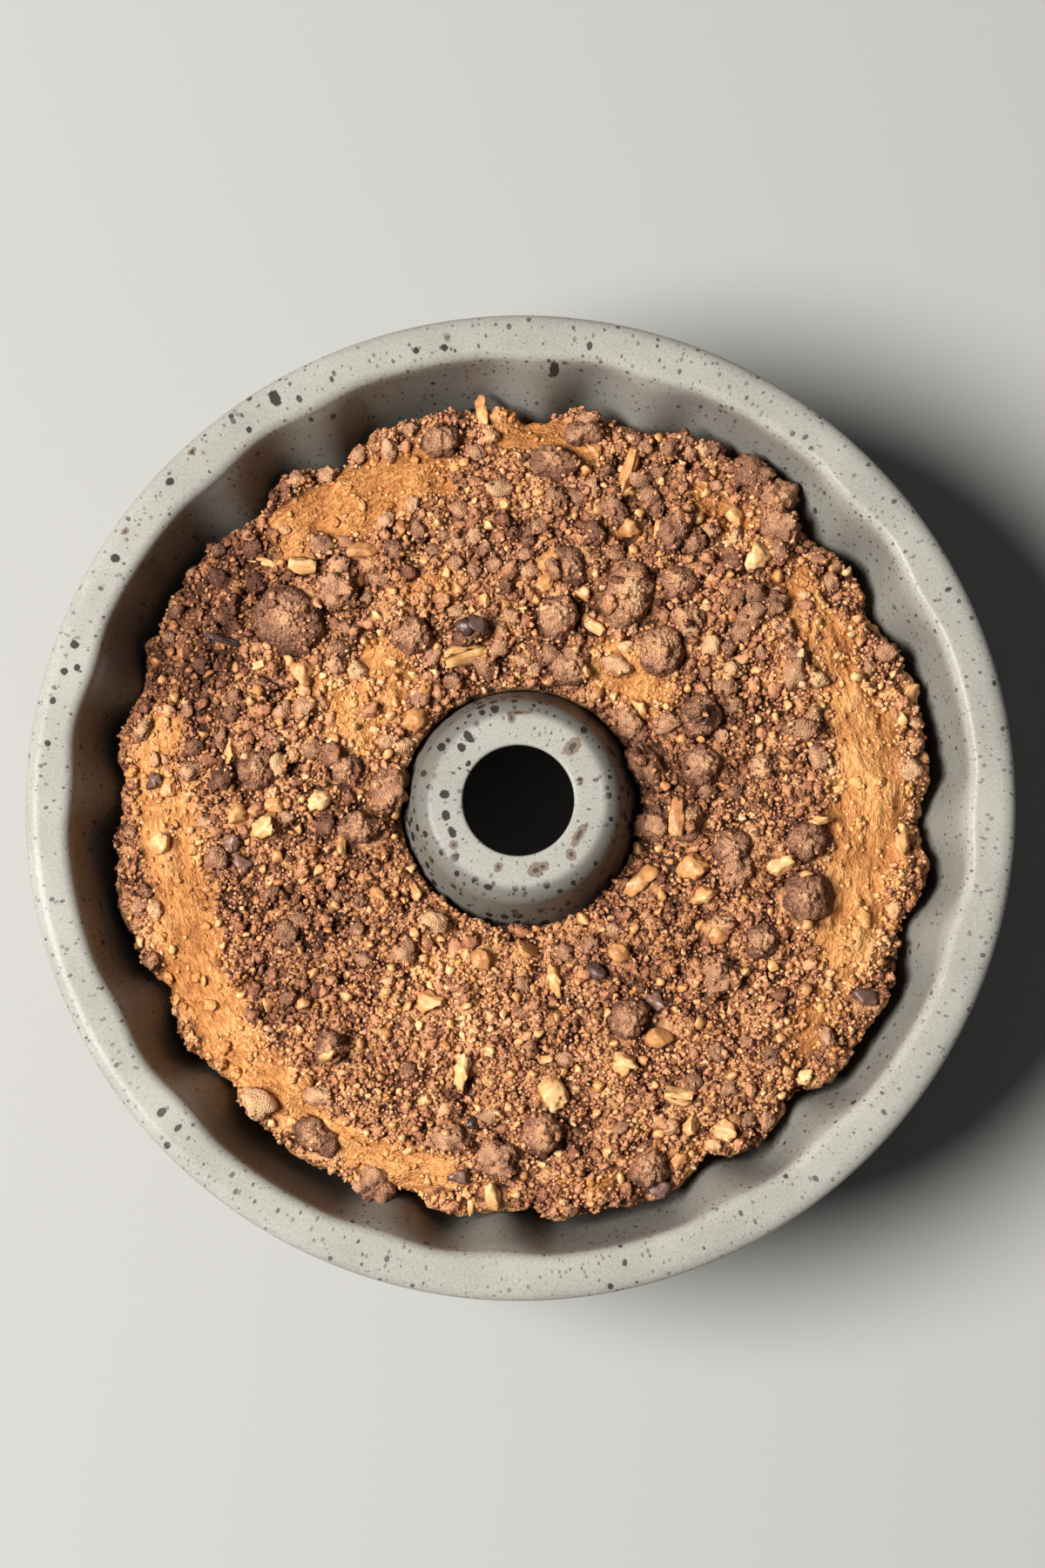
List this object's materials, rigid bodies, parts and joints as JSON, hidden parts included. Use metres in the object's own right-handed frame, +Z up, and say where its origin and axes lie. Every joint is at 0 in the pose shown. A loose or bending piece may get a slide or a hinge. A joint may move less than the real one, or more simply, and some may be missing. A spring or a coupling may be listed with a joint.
{
  "type": "ring coffee cake in its fluted tube pan",
  "caption": "Ring-shaped coffee cake with a nutty brown crumb topping, in the speckled grey fluted tube pan that it was baked in, resting on the pan's foot.",
  "frame": {"origin": "centre of the pan's foot, on the surface that the pan stands on", "axes": "+Z up along the tube's axis, +X to the right and +Y away from the viewer of the picture"},
  "size_m": [0.2538, 0.2538, 0.085],
  "materials": {
    "pan_metal": "satin",
    "cake_crust": "matte",
    "crumb_topping": "matte"
  },
  "bodies": {
    "root": {"pan": "pan_metal", "pan_tube": "pan_metal", "cake": "cake_crust", "clump_01": "crumb_topping", "clump_02": "crumb_topping", "clump_03": "crumb_topping", "clump_04": "crumb_topping", "clump_05": "crumb_topping", "clump_06": "crumb_topping", "clump_07": "crumb_topping", "clump_08": "crumb_topping", "clump_09": "crumb_topping", "clump_10": "crumb_topping", "clump_11": "crumb_topping", "clump_12": "crumb_topping", "clump_13": "crumb_topping", "clump_14": "crumb_topping", "clump_15": "crumb_topping", "clump_16": "crumb_topping", "clump_17": "crumb_topping", "clump_18": "crumb_topping", "clump_19": "crumb_topping", "clump_20": "crumb_topping", "clump_21": "crumb_topping", "clump_22": "crumb_topping", "clump_23": "crumb_topping", "clump_24": "crumb_topping", "clump_25": "crumb_topping", "clump_26": "crumb_topping"}
  },
  "joints": []
}
